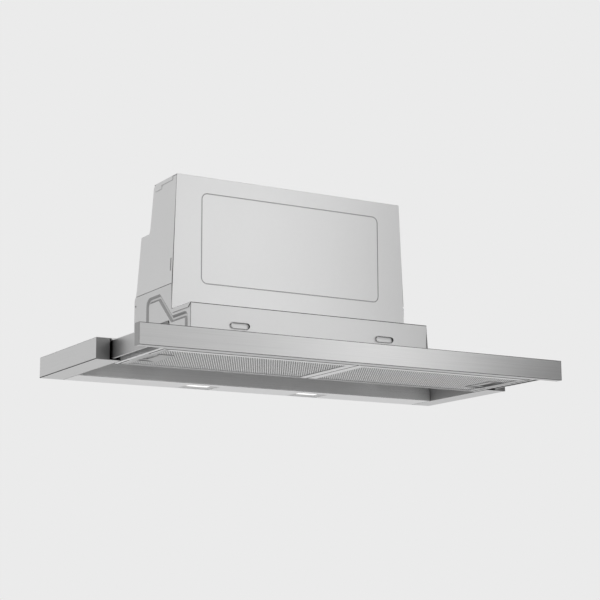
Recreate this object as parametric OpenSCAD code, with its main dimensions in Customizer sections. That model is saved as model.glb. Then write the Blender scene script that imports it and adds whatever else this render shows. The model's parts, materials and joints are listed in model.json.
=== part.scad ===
// Pull-out range hood for a wall cabinet, shown with its filter drawer pulled out.
// X runs along the front bar, Y from the bar to the wall, Z up from the underside.

/* [Overall] */
// Width over the front bar and the end caps
hood_w = 898; // [878:1:918]
// Depth from the bar's face to the wall with the drawer pushed in
hood_d = 290; // [288:1:300]
// Travel of the drawer
pull = 162; // [140:1:166]

/* [Sheet metal] */
// Thickness of the folded sheet
sheet = 1; // [0.8:0.1:1.2]
// Clearance between pieces that slide past each other
fit = 0.3; // [0.2:0.05:0.4]
// Open seam between plates that meet edge to edge
seam = 0.8; // [0.4:0.1:1]

/* [Tray] */
// Height of the fixed tray
rim_h = 39.3; // [39:0.1:42]
// Width of the underside strip at each end
cap_w = 47; // [45:0.5:50]
// Width of the closed front face of each end cap
cap_face_w = 26; // [24:0.5:27]
// Depth of the underside strip along the wall
strip_d = 74; // [70:0.5:78]
// Height of the folded edge that carries the slides
upstand_h = 31; // [30.5:0.1:32]
// Depth of the hem along the deck's front edge
hem_h = 2; // [1.5:0.1:2.4]

/* [Front bar] */
// Height of the front bar
bar_h = 38.4; // [38:0.1:39]
// Depth of the front bar
bar_d = 17; // [15:0.5:20]
// Wall of the front bar
bar_wall = 1.2; // [1:0.1:1.5]
// Thickness of the plate at each end of the bar
bar_end_t = 1.5; // [1:0.1:2.5]

/* [Keys] */
// Distance of the key row's centre from the bar's right end
key_row_x = 149; // [90:5:250]
// Distance from key to key
key_pitch = 24; // [20:1:30]
// Length of a key
key_l = 16; // [12:0.5:18]
// Depth of a key
key_d = 8; // [6:0.5:9]
// How far a key stands out of the bar
key_proud = 0.6; // [0.4:0.1:0.8]
// Travel of a key
key_travel = 1.5; // [1:0.1:1.8]

/* [Drawer] */
// Gap between the end cap's face and the drawer's side panel
panel_gap = 3; // [2.5:0.1:4]
// Height of the side panel's lower edge above the underside
panel_z = 2.5; // [2:0.1:3]
// Height of the drawer's top face
drawer_h = 35.2; // [34.8:0.1:35.6]
// Width of the side panel's bottom lip
panel_lip = 4; // [3:0.5:11]
// Length of the side panel
panel_l = 250; // [240:1:255]
// Gap between the tray's inner edge and the filter frame
frame_gap = 4; // [3:0.5:5]
// Width of the filter frame along its sides
frame_side = 6; // [5:0.5:9]
// Width of the filter frame along the bar
frame_front = 4; // [3.5:0.5:6]
// Width of the filter frame along its rear edge
frame_rear = 2; // [2:0.1:3]
// Height of the rim around each filter
frame_rim_h = 10; // [9.8:0.1:11]
// Width of the rib between the filters
rib_w = 16; // [12:1:24]

/* [Slides] */
// Height of each slide
slide_h = 24; // [22:0.5:24.5]
// Height of the slide's lower edge above the underside
slide_z = 6; // [5.5:0.1:6.4]
// Wall of the slide profiles
slide_wall = 1.2; // [1:0.1:1.5]
// Length of the member on the tray
slide_outer_l = 256; // [246:1:258]
// Length of the member between
slide_mid_l = 230; // [220:1:235]
// Length of the member on the drawer
slide_inner_l = 240; // [230:1:245]

/* [Grease filters] */
// Thickness of a filter
filter_t = 9; // [8:0.1:9.2]
// Height of a filter's underside above the hood's underside
filter_z = 0.4; // [0.3:0.05:0.5]
// Gap between filter and frame at the outer end
filter_end_gap = 2; // [1.5:0.5:4]
// Width of the plain border at the inner end
border_inner = 17; // [14:0.5:22]
// Width of the plain border along the bar
border_front = 13; // [10:0.5:16]
// Width of the plain border along the rear edge
border_rear = 4; // [3:0.5:6]
// Width of the plain border at the outer end
border_outer = 14; // [12:0.5:16]
// Length of one diamond of the mesh
mesh_l = 24; // [20:0.5:30]
// Depth of one diamond of the mesh
mesh_d = 14; // [12:0.5:18]
// Width of the strands between the diamonds
mesh_strand = 3; // [2.4:0.1:3.6]
// Radius of the pins that a filter swings on
hinge_pin_r = 1.5; // [1.3:0.05:1.7]
// Distance of the pins from the middle of the drawer
hinge_x = 4; // [3.5:0.1:5]

/* [Filter grips] */
// Distance of the grip's centre from the bar's rear face
grip_y = 111; // [95:1:120]
// Width of the grip
grip_w = 78; // [66:1:90]
// Length of the grip's ramp
grip_ramp = 19; // [14:1:24]
// Height of the grip's floor above the filter's underside
grip_rise = 1.8; // [1.8:0.1:2.6]
// Length of the finger hole
finger_l = 47; // [40:1:54]
// Width of the finger hole
finger_w = 16; // [12:0.5:16]
// Travel of the catch
catch_travel = 4; // [3:0.1:4.2]
// Depth of the catch from nose to back
catch_d = 14; // [12:0.1:14.4]

/* [Lamps] */
// Distance of each lamp from the middle
lamp_x = 125; // [90:1:250]
// Distance of the lamps from the wall
lamp_y = 28; // [26:0.5:36]
// Length of the lens
lens_l = 50; // [40:1:56]
// Depth of the lens
lens_d = 30; // [24:1:34]
// Width of the sloping surround
lamp_bezel = 8; // [6:0.5:9]
// Height of the lamp body
lamp_h = 15; // [12:0.5:20]

/* [Chamber] */
// Width of the chamber and of the motor box's foot
body_w = 524; // [500:1:540]
// Distance from the wall to the chamber's front face
chamber_d = 266; // [262:1:270]
// Distance from the wall to the chamber's rear face
chamber_gap = 15; // [12:0.5:18]
// Height of the shelf in front of the motor box
shelf_h = 121; // [116:1:126]
// Height of the seam between chamber and motor box
seat_h = 170.5; // [168:0.5:176]
// Depth of the shelf's folded side edge
shelf_flange = 8; // [6:0.5:9]
// Distance of the front slots from the middle
slot_x = 160; // [120:1:200]
// Height of the front slots
slot_z = 84; // [70:1:95]
// Length of a front slot
slot_l = 39; // [30:1:50]
// Width of a front slot
slot_w = 10; // [8:0.5:12]
// Width of the pressed bead
bead_w = 11.5; // [10:0.5:12]
// Width of the bead's floor
bead_floor = 4; // [3:0.5:5]
// Depth of the bead
bead_depth = 4; // [3:0.5:5]
// Length of the clip's window
window_l = 44; // [36:1:46]
// Height of the clip's window
window_h = 40; // [32:1:42]

/* [Motor box] */
// Distance from the wall to the motor cover's face
box_d = 185.5; // [182:0.5:190]
// Height of the motor box's top
box_top = 385; // [380:1:395]
// Width of the motor box at its top
top_w = 508; // [490:1:520]
// Width of the pressed field on the cover
field_w = 402; // [340:2:440]
// Height of the pressed field
field_h = 178.5; // [150:0.5:190]
// Height of the field's lower edge
field_z = 175; // [165:1:185]
// Corner radius of the field
field_r = 13; // [8:1:20]
// Width of the groove around the field
field_groove = 1.6; // [1:0.1:2.4]
// Width of the full-depth part behind the outlet
block_w = 224; // [200:2:260]
// Distance between the outlet's collar and the rear of the full-depth part
block_back = 3; // [2.5:0.5:8]

/* [Air outlet] */
// Bore that the duct's spigot plugs into
outlet_d = 150; // [140:1:150]
// Distance between the outlet's collar and the motor cover's face
outlet_front = 8.5; // [6:0.5:12]
// Wall of the outlet's collar
collar_wall = 2; // [1.5:0.1:2]
// Height of the outlet's collar
collar_h = 14; // [10:0.5:18]

/* [Blower] */
// Distance of the fan's axis in front of the outlet's centre
fan_y = 7; // [4:0.5:8]
// Height of the fan's axis
fan_z = 243; // [238:1:246]
// Outer radius of the fan wheel
wheel_r = 54; // [50:0.5:55]
// Depth of the blades
blade_d = 11; // [9:0.5:12]
// Number of blades
blade_count = 30; // [20:1:36]
// Width of the fan wheel
wheel_w = 124; // [110:1:126]
// Gap between wheel and scroll at the tongue
tongue_gap = 6; // [5:0.5:7]
// Growth of the scroll's radius from the tongue to the throat
scroll_rise = 16; // [14:0.5:17]
// Width of the scroll inside
scroll_w = 132; // [130:1:140]
// Wall of the scroll
scroll_wall = 1.5; // [1.2:0.1:1.8]
// Radius of the motor
motor_r = 33; // [28:0.5:34]
// Radius of the motor shaft
shaft_r = 4; // [3:0.5:5]
// Radial clearance of the shaft in its bearing
shaft_play = 0.05; // [0.03:0.01:0.08]

/* [Hidden] */

$fn = 48;
// How far a cutting tool runs past what it cuts
over = 1;

// Main planes
half_w = hood_w / 2;
y_wall = (hood_d + pull) / 2;
y_bar = -y_wall;
y_bar_back = y_bar + bar_d;
y_tray = y_bar_back + pull + fit;
y_strip = y_wall - strip_d;
y_cover = y_wall - box_d;
y_outlet = y_cover + outlet_front + outlet_d / 2 + collar_wall;
y_block = y_outlet + outlet_d / 2 + collar_wall + block_back;
y_chamber_back = y_wall - chamber_gap;
deck_z = rim_h - sheet;
cap_in = half_w - cap_w;
cap_face_in = half_w - cap_face_w;

// Drawer
panel_x = cap_face_in - panel_gap;
frame_x = cap_in - frame_gap;
open_x = frame_x - frame_side;
y_frame_back = y_strip - sheet - pull;
y_open_front = y_bar_back + frame_front;
y_open_back = y_frame_back - frame_rear;
y_panel_back = y_bar_back + panel_l;
drawer_z = drawer_h - sheet;
wing_in = cap_in + sheet + seam;

// Slides, from the tray's upstand outwards to the drawer's side panel
slide_x0 = cap_in + sheet;
slide_x1 = panel_x - sheet;
slide_mid_x = (slide_x0 + slide_x1) / 2;
slide_web_gap = slide_wall / 2 + fit;
slide_outer_in = 5;
slide_mid_in = 18;
slide_inner_in = 2;
y_slide_outer = y_tray + slide_outer_in;
y_slide_mid = y_tray - pull / 2 + slide_mid_in;
y_slide_inner = y_bar_back + slide_inner_in;

// Filters
filter_front_gap = 8;
filter_back_gap = 1;
y_filter_front = y_open_front + filter_front_gap;
y_filter_back = y_open_back - filter_back_gap;
filter_in = 0.8;
filter_out = open_x - filter_end_gap;
filter_top = filter_z + filter_t;
hinge_z = filter_z + hinge_pin_r + 0.6;
pin_play = 0.06;
pin_tip = 0.5;
mesh_z = filter_z + sheet;
rib_z = hinge_z + norm([hinge_x - filter_in, filter_top - hinge_z]) + fit;
window_x0 = filter_in + border_inner;
window_x1 = filter_out - border_outer;
window_y0 = y_filter_front + border_front;
window_y1 = y_filter_back - border_rear;
mesh_lap = 2.5;
mesh_slit = 0.2;
catch_x1 = open_x - fit;
catch_x0 = catch_x1 - catch_d;
pocket_x = catch_x0 - catch_travel - fit;
finger_x0 = catch_x0 - finger_w;
grip_x0 = finger_x0 - grip_ramp;
y_grip = y_bar_back + grip_y;
y_grip0 = y_grip - grip_w / 2;
y_grip1 = y_grip + grip_w / 2;
catch_l = grip_w + 4;
catch_t = 1.2;
nose_l = 40;
nose_d = 3.5;
grip_floor = filter_z + grip_rise;

// Keys
key_count = 4;
key_centre = half_w - key_row_x;
key_y = y_bar + bar_d / 2;
key_flange = 1;
key_flange_t = 1.5;

// Lamps
y_lamp = y_wall - lamp_y;
lens_z = 3.5;
lens_t = 2;
lens_play = 0.1;
lens_room = 8;
lamp_lap = 2;
lamp_lip = 0.6;

// Chamber
body_x = body_w / 2;
side_x = body_x - sheet;
y_chamber = y_wall - chamber_d;
y_strip_lid = y_chamber_back - sheet - fit;
strip_lid_x = side_x - sheet - fit;
seat_out = 1;
y_seat_back = y_block + seat_out;
seat_chamfer = 7.5;
foot_w = 5;
foot_z = deck_z - sheet;
window_back = 32.5;
y_window = y_cover + window_back;
window_drop = 20;
window_z = shelf_h - window_drop;
window_r = 5;
side_hole_r = 2;
slip = 0.1;

// Pressed bead in the chamber's side, as distances from the wall and heights
bead_base = 9;
bead_base_z = rim_h + bead_base;
bead_rear_gap = 76.6;
bead_front_gap = 19.2;
bead_top_gap = 18.5;
bead_low_gap = 19.5;
bead_turn_back = 56.5;
bead_rear = y_wall - bead_rear_gap;
bead_front = y_chamber + bead_front_gap;
bead_top = seat_h - bead_top_gap;
bead_low = shelf_h - bead_low_gap;
bead_turn = y_cover + bead_turn_back;
bead_rear_r = 10.4;
bead_front_r = 8;
bead_step = 30;
function bead_path(z) = concat(
    [[bead_rear, z]],
    [for (a = [0:bead_step:90])
        [bead_rear - bead_rear_r * (1 - cos(a)), bead_top - bead_rear_r * (1 - sin(a))]],
    [[bead_turn, bead_top], [y_cover + 0.5, bead_low]],
    [for (a = [90:bead_step:180])
        [bead_front + bead_front_r * (1 + cos(a)), bead_low - bead_front_r * (1 - sin(a))]],
    [[bead_front, z]]
);

// Spring clip
clip_w = 24;
clip_tab = 11;
clip_out = 4;

// Motor box
top_x = top_w / 2 - sheet;
box_rise = box_top - seat_h;
taper = atan((side_x - top_x) / box_rise);
block_x = block_w / 2;
top_z = box_top - sheet;
top_in = 64;
y_top_back = y_block - top_in;
corner_hole_r = 1.6;
lap_t = 0.6;
lap_gap = 0.05;
lap_front = 146;
lap_step = 98;
lap_back = 70;
lap_high = 8;
lap_low = 15;

// Outlet and blower
outlet_r = outlet_d / 2;
collar_r = outlet_r + collar_wall;
y_fan = y_outlet - fan_y;
collar_foot = 1.4;
duct_rim = 0.5;
tongue_a = 115;
full_turn = 360;
scroll_step = 17.5;
tongue_r = wheel_r + tongue_gap;
scroll_r = tongue_r + scroll_rise;
throat_rise = 88;
throat_top = fan_z + throat_rise;
throat_front = 33;
y_throat = y_fan - throat_front;
scroll_x = scroll_w / 2;
inlet_r = wheel_r - blade_d + 1;
ring_t = 2;

// Parts of the blower drive
hub_r = 10;
hub_l = 14;
disc_t = 1.5;
motor_l = 70;
motor_gap = 8;
motor_x1 = -motor_gap;
motor_x0 = motor_x1 - motor_l;
bearing_l = 40;
bell_l = 6;
bell_step = 8;
bracket_t = 3;
bracket_ring = 8;
bracket_hoop = 3;
bracket_arm = 10;
shaft_grip = 0.02;
motor_grip = 0.03;

// Forward-curved blade between its inner and outer radius
blade_t = 1.3;
blade_steps = 4;
blade_lean = 22;
blade_set = 0.4;
function blade_point(i, side) =
    let (t = i / blade_steps, r = wheel_r - blade_d + blade_set + t * (blade_d - 2 * blade_set))
    let (a = blade_lean * t * t + side * blade_t / r * 180 / PI)
    [r * cos(a), r * sin(a)];
blade = concat(
    [for (i = [0:blade_steps]) blade_point(i, 0)],
    [for (i = [blade_steps:-1:0]) blade_point(i, 1)]
);

// Electronics
elec_side = 17;
elec_w = 86;
elec_x1 = top_x - elec_side;
elec_x0 = elec_x1 - elec_w;
elec_h = 46;
elec_front = 8;
elec_back = 72;
y_elec_front = y_cover + sheet + elec_front;
y_elec_back = y_block - elec_back;
capacitor_r = 14;
capacitor_l = 52;
gland_in = 45;
gland_x = elec_x0 + gland_in;
gland_drop = 39;
gland_z = box_top - gland_drop;
gland_r = 9;
gland_bore_r = 4;
gland_depth = 12;
gland_flange = 4;
gland_back = 40;
y_gland_end = y_block - gland_back;
gland_flange_back = 55;
y_gland_flange = y_block - gland_flange_back;
screw_head_r = 3.8;
screw_head_t = 2.4;
sensor_gap = 26;
sensor_l = 24;
sensor_x1 = -body_x - sensor_gap;
sensor_x0 = sensor_x1 - sensor_l;
reed_d = 10;
reed_h = 8;
magnet_d = 12;
magnet_h = 2.5;
magnet_edge = 2;

// Keys and their block
switch_h = 10;
key_z = bar_h - bar_wall - fit;
switch_top = key_z - key_flange_t - key_travel - fit;

// Rear outline of the motor box: distances from the full-depth part's rear face and heights above its foot
rear_low = 2.4;
rear_low_h = 14.5;
rear_mid = 11.6;
rear_step = 48.5;
rear_step_h = 119;
rear_high = 52.2;
rear_high_h = 128.5;
rear_top = 60;
rear_fold = 5;

// Shallow pocket beside the cover's edge
tab_in = 8;
tab_w = 4.5;
tab_low = 26;
tab_l = 24;

// The rear outline, inset by o
function rear_line(o) = [
    [y_seat_back - o, seat_h],
    [y_block - rear_low - o, seat_h + rear_low_h],
    [y_block - rear_mid - o, seat_h + rear_step_h - o],
    [y_block - rear_step - o, seat_h + rear_step_h - o],
    [y_block - rear_high - o, seat_h + rear_high_h],
    [y_block - rear_top - o, box_top - rear_fold],
    [y_top_back - o, top_z - seam / 2]
];

function reversed(p) = [for (i = [len(p) - 1:-1:0]) p[i]];
function unit(v) = v / norm(v);
function left_of(v) = [-v[1], v[0]];
function heading(p, i) = unit(p[i + 1] - p[i]);

// Mitred normal of an open path at its point i
function mitre(p, i) =
    i == 0 ? left_of(heading(p, 0)) :
    i == len(p) - 1 ? left_of(heading(p, i - 1)) :
    let (a = left_of(heading(p, i - 1)), b = left_of(heading(p, i))) (a + b) / (1 + a * b);

module along_x(x0, x1) translate([x0, 0, 0]) rotate([90, 0, 90]) linear_extrude(x1 - x0) children();
module along_y(y0, y1) translate([0, y1, 0]) rotate([90, 0, 0]) linear_extrude(y1 - y0) children();
module along_z(z0, z1) translate([0, 0, z0]) linear_extrude(z1 - z0) children();
module block(x0, x1, y0, y1, z0, z1) translate([x0, y0, z0]) cube([x1 - x0, y1 - y0, z1 - z0]);
module on_left() mirror([1, 0, 0]) children();

// Rectangle with round corners, from its lower left corner
module round_rect(x0, x1, y0, y1, r) {
    translate([x0 + r, y0]) square([x1 - x0 - 2 * r, y1 - y0]);
    translate([x0, y0 + r]) square([x1 - x0, y1 - y0 - 2 * r]);
    for (x = [x0 + r, x1 - r], y = [y0 + r, y1 - r]) translate([x, y]) circle(r);
}

module obround(l, w) {
    square([l - w, w], center = true);
    for (x = [-1, 1]) translate([x * (l - w) / 2, 0]) circle(w / 2);
}

// A ditch with sloping walls along a path in the YZ plane, from x0 down to x0 - depth
module ditch(path, x0, w_top, w_floor, depth) {
    n = len(path);
    pts = [for (i = [0:n - 1]) let (m = mitre(path, i)) each [
        concat([x0], path[i] + m * w_top / 2),
        concat([x0], path[i] - m * w_top / 2),
        concat([x0 - depth], path[i] - m * w_floor / 2),
        concat([x0 - depth], path[i] + m * w_floor / 2)
    ]];
    walls = [for (i = [0:n - 2], k = [0:3])
        let (a = 4 * i + k, b = 4 * i + (k + 1) % 4) [a, a + 4, b + 4, b]];
    ends = [[0, 1, 2, 3], [for (k = [3:-1:0]) 4 * (n - 1) + k]];
    polyhedron(points = pts, faces = concat(walls, ends), convexity = 6);
}

// Plane of the motor box's tapering side: x = 0 is its outer face, z = 0 the seam at its foot
module side_plane() translate([side_x, 0, seat_h]) rotate([0, -taper, 0]) children();

// ---- Fixed tray ----

module end_cap() color("silver") {
    along_y(y_tray, y_wall) union() {
        translate([cap_in, 0]) square([cap_w, sheet]);
        translate([half_w - sheet, 0]) square([sheet, deck_z]);
        translate([cap_in, 0]) square([sheet, upstand_h]);
        translate([cap_face_in, 0]) square([sheet, deck_z]);
    }
    block(cap_face_in, half_w, y_tray, y_tray + sheet, 0, deck_z);
    block(cap_in, half_w, y_wall - sheet, y_wall, 0, deck_z);
}

module end_cap_right() end_cap();
module end_cap_left() on_left() end_cap();

module tray_deck() color("gainsboro") {
    difference() {
        block(-half_w, half_w, y_tray, y_wall, deck_z, rim_h);
        block(-body_x - fit, body_x + fit, y_chamber - fit, y_chamber_back + fit,
            deck_z - over, rim_h + over);
    }
    block(-panel_x, panel_x, y_tray, y_tray + sheet, deck_z - hem_h, deck_z);
}

module lamp_places() for (s = [-1, 1]) translate([s * lamp_x, y_lamp, 0]) children();

module light_strip() color("silver") {
    x = cap_in - seam / 2;
    difference() {
        block(-x, x, y_strip, y_wall, 0, deck_z);
        block(-x - over, x + over, y_strip + sheet, y_wall - sheet, sheet, deck_z + over);
        lamp_places() translate([0, 0, -over]) linear_extrude(sheet + 2 * over)
            square([lens_l + 2 * lamp_bezel + seam, lens_d + 2 * lamp_bezel + seam], center = true);
        for (s = [0, 1]) mirror([s, 0, 0])
            block(strip_lid_x, side_x + foot_w + fit, y_strip - over, y_strip + sheet + over,
                foot_z - fit, deck_z + over);
    }
    block(-strip_lid_x, strip_lid_x, y_strip, y_strip_lid, foot_z, deck_z);
}

// Body of one lamp: a box above the strip whose surround slopes up to the lens
module lamp_housing() color("lightgray") {
    w = lens_l + 2 * lamp_bezel;
    d = lens_d + 2 * lamp_bezel;
    difference() {
        union() {
            translate([0, 0, (sheet + lamp_h) / 2])
                cube([w + 2 * lamp_lap, d - seam, lamp_h - sheet], center = true);
            translate([0, 0, sheet / 2]) cube([w, d, sheet], center = true);
        }
        hull() {
            along_z(-over, lamp_lip) square([w - 2 * lamp_lip, d - 2 * lamp_lip], center = true);
            along_z(lens_z - slip, lens_z) square([lens_l, lens_d], center = true);
        }
        along_z(lens_z - over, lens_z + lens_room) square([lens_l, lens_d], center = true);
    }
}

module lamp_lens() color("white") along_z(lens_z, lens_z + lens_t)
    square([lens_l - 2 * lens_play, lens_d - 2 * lens_play], center = true);

module lamp_housing_left() translate([-lamp_x, y_lamp, 0]) lamp_housing();
module lamp_housing_right() translate([lamp_x, y_lamp, 0]) lamp_housing();
module lamp_lens_left() translate([-lamp_x, y_lamp, 0]) lamp_lens();
module lamp_lens_right() translate([lamp_x, y_lamp, 0]) lamp_lens();

// ---- Chamber ----

module chamber_front() color("lightgray") {
    difference() {
        union() {
            block(-body_x, body_x, y_chamber, y_chamber + sheet, foot_z, shelf_h);
            block(-body_x, body_x, y_chamber - foot_w, y_chamber + sheet, foot_z, deck_z);
        }
        for (s = [-1, 1]) translate([s * slot_x, 0, slot_z])
            along_y(y_chamber - over, y_chamber + sheet + over) obround(slot_l, slot_w);
    }
    block(-body_x, body_x, y_chamber, y_cover - seam / 2, shelf_h - sheet, shelf_h);
    for (s = [0, 1]) mirror([s, 0, 0]) along_x(body_x - sheet, body_x) polygon([
        [y_chamber, shelf_h],
        [y_chamber + 2, shelf_h - 1.5],
        [y_chamber + 11, shelf_h - shelf_flange],
        [y_cover - 3, shelf_h - shelf_flange],
        [y_cover - seam / 2, shelf_h - shelf_flange + 2],
        [y_cover - seam / 2, shelf_h]
    ]);
}

module chamber_side() color("lightgray") {
    slope = (bead_w - bead_floor) / 2 / (bead_depth - sheet);
    difference() {
        union() {
            translate([side_x, 0, 0]) along_x(-sheet, 0) polygon([
                [y_chamber + sheet, foot_z],
                [y_chamber + sheet, shelf_h - sheet - slip],
                [y_cover + sheet + seam / 2, shelf_h - sheet - slip],
                [y_cover + sheet + seam / 2, seat_h - seam / 2],
                [y_seat_back - sheet, seat_h - seam / 2],
                [y_chamber_back - sheet, seat_h - seat_chamfer],
                [y_chamber_back - sheet, foot_z]
            ]);
            block(side_x - sheet, side_x + foot_w, y_chamber + sheet, y_chamber_back - sheet, foot_z, deck_z);
            translate([side_x, 0, 0])
                ditch(bead_path(bead_base_z - sheet), -sheet / 2, bead_w + sheet, bead_floor + sheet,
                    bead_depth - sheet / 2);
        }
        translate([side_x, 0, 0])
            ditch(bead_path(bead_base_z), over, bead_w + 2 * slope * over, bead_floor,
                bead_depth - sheet + over);
        along_x(side_x - sheet - over, side_x + over) {
            round_rect(y_window - window_l / 2, y_window + window_l / 2,
                window_z - window_h, window_z, window_r);
            translate([y_chamber_back - 6, bead_top]) circle(side_hole_r);
        }
    }
}

module chamber_side_right() chamber_side();
module chamber_side_left() on_left() chamber_side();

module chamber_rear() color("lightgray")
    along_x(-side_x, side_x) polygon([
        [y_chamber_back - sheet, foot_z],
        [y_chamber_back + foot_w, foot_z],
        [y_chamber_back + foot_w, deck_z],
        [y_chamber_back, deck_z],
        [y_chamber_back, seat_h - seat_chamfer],
        [y_seat_back, seat_h - seam / 2],
        [y_seat_back - sheet, seat_h - seam / 2],
        [y_chamber_back - sheet, seat_h - seat_chamfer]
    ]);

// Spring clip behind the window in each side, which grips the cabinet's wall
module side_clip() color("darkgray") {
    z0 = window_z - window_h;
    translate([side_x - sheet, 0, 0]) along_y(y_window - clip_w / 2, y_window + clip_w / 2) polygon([
        [0, window_z + clip_tab],
        [-sheet, window_z + clip_tab],
        [-sheet, window_z + sheet],
        [-clip_out - sheet, window_z - 2 * clip_out],
        [-clip_out - sheet, z0 + 3 * clip_out],
        [-sheet, z0 + clip_out],
        [0, z0 + clip_out + fit],
        [-clip_out, z0 + 3 * clip_out + fit],
        [-clip_out, window_z - 2 * clip_out - fit],
        [0, window_z + fit]
    ]);
}

module side_clip_right() side_clip();
module side_clip_left() on_left() side_clip();

// ---- Motor box ----

module motor_cover() color("silver") difference() {
    along_y(y_cover, y_cover + sheet) polygon([
        [-body_x, shelf_h], [body_x, shelf_h], [body_x, seat_h], [top_w / 2, box_top],
        [-top_w / 2, box_top], [-body_x, seat_h]
    ]);
    along_y(y_cover - over, y_cover + sheet / 2) difference() {
        round_rect(-field_w / 2, field_w / 2, field_z, field_z + field_h, field_r);
        round_rect(-field_w / 2 + field_groove, field_w / 2 - field_groove,
            field_z + field_groove, field_z + field_h - field_groove, field_r - field_groove);
    }
    for (s = [-1, 1], z = [shelf_h, seat_h]) translate([s * body_x, 0, z])
        along_y(y_cover - over, y_cover + sheet + over) circle(corner_hole_r);
}

module motor_side() color("silver") side_plane() difference() {
    along_x(-sheet, 0) polygon(concat(
        [[y_cover + sheet + seam / 2, box_rise - sheet - fit], [y_cover + sheet + seam / 2, seam / 2]],
        [for (p = rear_line(sheet + slip)) [p[0], max(p[1] - seat_h, seam / 2)]]
    ));
    block(-sheet / 2, over, y_cover + tab_in, y_cover + tab_in + tab_w, tab_low, tab_low + tab_l);
}

module motor_side_right() motor_side();
module motor_side_left() on_left() motor_side();

// Stepped rear wall beside the full-depth part
module motor_rear() color("lightgray") {
    inner = side_x - sheet - seam / 2;
    difference() {
        intersection() {
            along_x(block_x, side_x) polygon(concat(rear_line(0), reversed(rear_line(sheet))));
            along_y(y_cover, y_seat_back + over) polygon([
                [block_x, seat_h], [inner, seat_h], [inner + top_x - side_x, box_top], [block_x, box_top]
            ]);
        }
        translate([gland_x, 0, gland_z]) along_y(y_cover, y_block) circle(gland_r + slip);
    }
}

module motor_rear_right() motor_rear();
module motor_rear_left() on_left() motor_rear();

// Full-depth part behind the outlet: its rear wall and the two cheeks
module outlet_block() color("lightgray") {
    block(-block_x, block_x, y_block - sheet, y_block, seat_h, top_z);
    for (s = [0, 1]) mirror([s, 0, 0]) along_x(block_x - sheet, block_x) polygon(concat(
        [for (p = rear_line(sheet)) [min(p[0], y_block - sheet), p[1]]],
        [[y_top_back - sheet, top_z], [y_block, top_z], [y_block, seat_h]]
    ));
}

module top_plate() color("lightgray") {
    x = top_x + lap_t;
    difference() {
        union() {
            block(-x, x, y_cover + sheet, y_top_back, top_z, box_top);
            block(-block_x, block_x, y_cover + sheet, y_block, top_z, box_top);
        }
        translate([0, y_outlet, top_z - over]) cylinder(r = collar_r + slip, h = sheet + 2 * over);
    }
    for (s = [0, 1]) mirror([s, 0, 0]) side_plane() {
        z = box_rise - sheet / 2;
        block(lap_gap, lap_t, y_block - lap_front, y_block - lap_step, box_rise - lap_high, z);
        block(lap_gap, lap_t, y_block - lap_step, y_block - lap_back, box_rise - lap_low, z);
    }
}

// ---- Air path ----

module outlet_collar() color("dimgray") translate([0, y_outlet, 0]) difference() {
    union() {
        translate([0, 0, box_top - collar_h]) cylinder(r = collar_r, h = collar_h);
        translate([0, 0, top_z - collar_wall]) cylinder(r = collar_r + collar_foot, h = collar_wall);
    }
    translate([0, 0, box_top - collar_h - over]) cylinder(r = outlet_r, h = collar_h + 2 * over);
}

// Inside or outside of the transition from the scroll's throat to the round outlet
module duct_form(o, cut) hull() {
    translate([-scroll_x - o, y_throat - o, throat_top - cut])
        cube([2 * scroll_x + 2 * o, y_fan + scroll_r - y_throat + 2 * o, duct_rim + cut]);
    translate([0, y_outlet, box_top - collar_h - fit - duct_rim])
        cylinder(r = outlet_r + duct_rim + o, h = duct_rim + cut);
}

module outlet_duct() color("dimgray") difference() {
    duct_form(scroll_wall, 0);
    duct_form(0, slip);
}

// Outline of the scroll, set out from the air space by o
function scroll_line(o) = concat(
    [for (a = [tongue_a:scroll_step:full_turn])
        let (r = tongue_r + scroll_rise * (a - tongue_a) / (full_turn - tongue_a) + o)
        [y_fan + r * cos(a), fan_z + r * sin(a)]],
    [[y_fan + scroll_r + o, throat_top], [y_throat - o, throat_top]]
);

module scroll_wrap() color("dimgray") difference() {
    along_x(-scroll_x, scroll_x) polygon(scroll_line(scroll_wall));
    along_x(-scroll_x - over, scroll_x + over) polygon([for (p = scroll_line(0))
        [p[0], p[1] >= throat_top ? throat_top + over : p[1]]]);
}

module scroll_side() color("dimgray") difference() {
    along_x(scroll_x, scroll_x + scroll_wall) polygon(scroll_line(scroll_wall));
    along_x(scroll_x - over, scroll_x + scroll_wall + over) translate([y_fan, fan_z]) circle(inlet_r);
}

module scroll_side_right() scroll_side();
module scroll_side_left() on_left() scroll_side();

module fan_axis() translate([0, y_fan, fan_z]) rotate([0, 90, 0]) children();

// Solid cylinder on the fan's axis from x0 to x1
module axial(r, x0, x1) fan_axis() translate([0, 0, x0]) cylinder(r = r, h = x1 - x0);

module fan_wheel() color("gray") difference() {
    union() {
        translate([0, y_fan, fan_z]) along_x(-wheel_w / 2 + ring_t / 2, wheel_w / 2 - ring_t / 2)
            for (k = [0:blade_count - 1]) rotate(k * full_turn / blade_count) polygon(blade);
        for (s = [0, 1]) mirror([s, 0, 0]) difference() {
            axial(wheel_r, wheel_w / 2 - ring_t, wheel_w / 2);
            axial(wheel_r - blade_d, wheel_w / 2 - ring_t - over, wheel_w / 2 + over);
        }
        axial(wheel_r, -disc_t / 2, disc_t / 2);
        axial(hub_r, 0, hub_l);
    }
    axial(shaft_r + shaft_grip, -disc_t - over, hub_l + over);
}

module motor_shaft() color("darkgray") axial(shaft_r, motor_x1 - bearing_l + sheet, hub_l + shaft_r);

module motor() color("slategray") difference() {
    union() {
        axial(motor_r, motor_x0 + bell_l, motor_x1 - bell_l);
        axial(motor_r - bell_step, motor_x0, motor_x1);
    }
    axial(shaft_r + shaft_play, motor_x1 - bearing_l, motor_x1 + over);
}

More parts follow.
